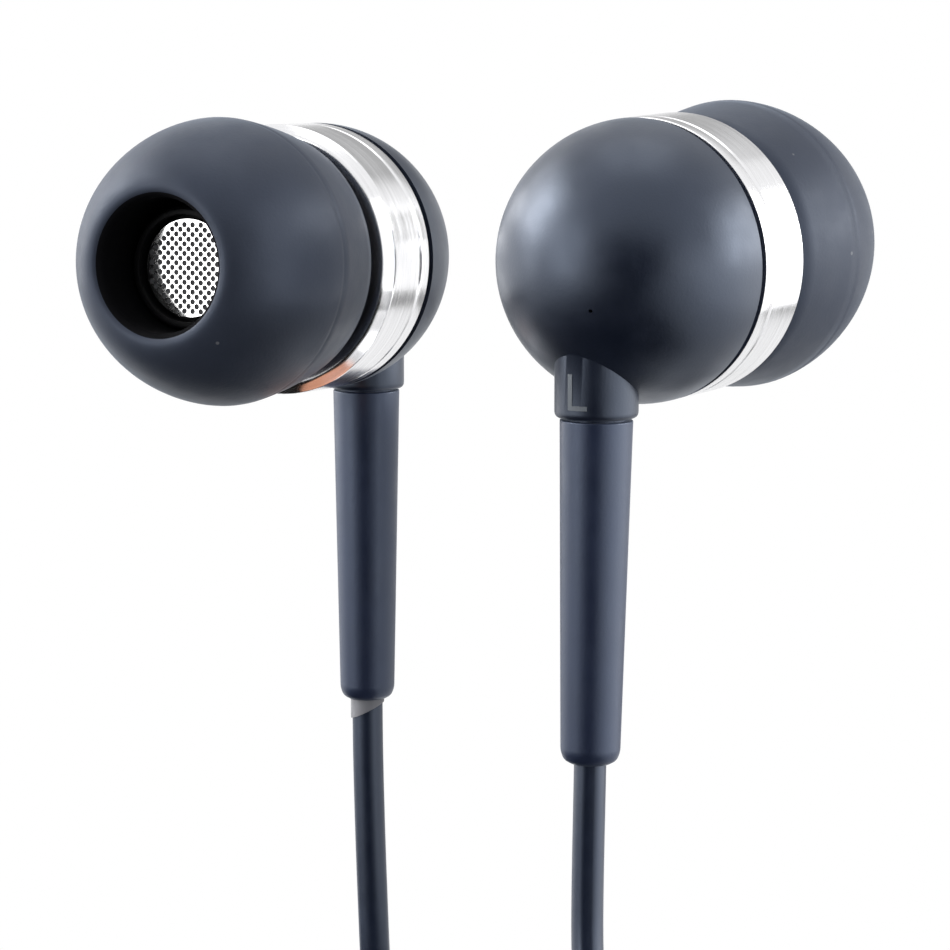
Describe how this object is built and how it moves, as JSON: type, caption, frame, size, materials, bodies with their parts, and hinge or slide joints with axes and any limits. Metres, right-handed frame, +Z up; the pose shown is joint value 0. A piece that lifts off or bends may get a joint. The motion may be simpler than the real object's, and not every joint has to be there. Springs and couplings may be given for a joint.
{
  "type": "wired in-ear earphones",
  "caption": "Wired in-ear earphones with ball-shaped shells, polished metal rings, soft silicone tips, strain reliefs, a coiled cord and a jack plug.",
  "frame": {"origin": "midway between the two earpieces, at the height of their nozzles, where a wearer or a stand holds them", "axes": "+Z up, +X across from the right-channel earpiece to the left-channel one, -Y towards the viewer of the picture"},
  "size_m": [0.0733, 0.0475, 0.0609],
  "materials": {
    "charcoal_shell": "soft-touch charcoal plastic",
    "charcoal_silicone": "matte charcoal silicone",
    "charcoal_rubber": "matte charcoal elastomer",
    "tie_rubber": "black elastomer band",
    "charcoal_cord": "satin black cord jacket",
    "polished_metal": "polished",
    "mesh_metal": "fine perforated steel",
    "black_plastic": "black moulded plastic",
    "driver_steel": "plated steel",
    "magnet_metal": "plated magnet",
    "copper": "enamelled copper wire",
    "clear_film": "thin clear film",
    "circuit_board": "green solder mask",
    "plug_gold": "gold plated",
    "white_plastic": "white insulator"
  },
  "bodies": {
    "earphones": {"left_rear_shell": "charcoal_shell", "left_trim_ring": "polished_metal", "left_front_housing": "black_plastic", "left_nozzle_mesh": "mesh_metal", "left_driver_frame": "black_plastic", "left_driver_yoke": "driver_steel", "left_driver_magnet": "magnet_metal", "left_pole_plate": "driver_steel", "left_terminal_board": "circuit_board", "left_cord_knot": "charcoal_cord", "left_strain_relief": "charcoal_rubber", "left_cord_rise": "charcoal_cord", "left_cord_coil": "charcoal_cord", "left_cord_tail": "charcoal_cord", "right_rear_shell": "charcoal_shell", "right_trim_ring": "polished_metal", "right_front_housing": "black_plastic", "right_nozzle_mesh": "mesh_metal", "right_driver_frame": "black_plastic", "right_driver_yoke": "driver_steel", "right_driver_magnet": "magnet_metal", "right_pole_plate": "driver_steel", "right_terminal_board": "circuit_board", "right_cord_knot": "charcoal_cord", "right_strain_relief": "charcoal_rubber", "right_cord_rise": "charcoal_cord", "right_cord_coil": "charcoal_cord", "right_cord_tail": "charcoal_cord", "main_cord_coil": "charcoal_cord", "main_cord_link": "charcoal_cord", "main_cord_tail": "charcoal_cord", "cord_splitter": "charcoal_rubber", "cord_tie": "tie_rubber", "plug_relief": "charcoal_rubber", "plug_body": "charcoal_rubber", "plug_sleeve": "plug_gold", "plug_insulator_back": "white_plastic", "plug_ring": "plug_gold", "plug_insulator_front": "white_plastic", "plug_tip": "plug_gold"},
    "left_tip": {"left_ear_tip": "charcoal_silicone"},
    "right_tip": {"right_ear_tip": "charcoal_silicone"},
    "left_diaphragm_unit": {"left_diaphragm": "clear_film", "left_voice_coil": "copper"},
    "right_diaphragm_unit": {"right_diaphragm": "clear_film", "right_voice_coil": "copper"}
  },
  "joints": [
    {"name": "left_tip_pull", "type": "slide", "parent": "earphones", "child": "left_tip", "axis": [0.5675, 0.8226, 0.0349], "range_m": [0, 0.009]},
    {"name": "left_diaphragm_travel", "type": "slide", "parent": "earphones", "child": "left_diaphragm_unit", "axis": [0.5675, 0.8226, 0.0349], "range_m": [-0.0002, 0.0002], "stiffness_N_per_m": 0.5},
    {"name": "right_tip_pull", "type": "slide", "parent": "earphones", "child": "right_tip", "axis": [-0.4692, -0.8824, 0.0349], "range_m": [0, 0.009]},
    {"name": "right_diaphragm_travel", "type": "slide", "parent": "earphones", "child": "right_diaphragm_unit", "axis": [-0.4692, -0.8824, 0.0349], "range_m": [-0.0002, 0.0002], "stiffness_N_per_m": 0.5}
  ]
}
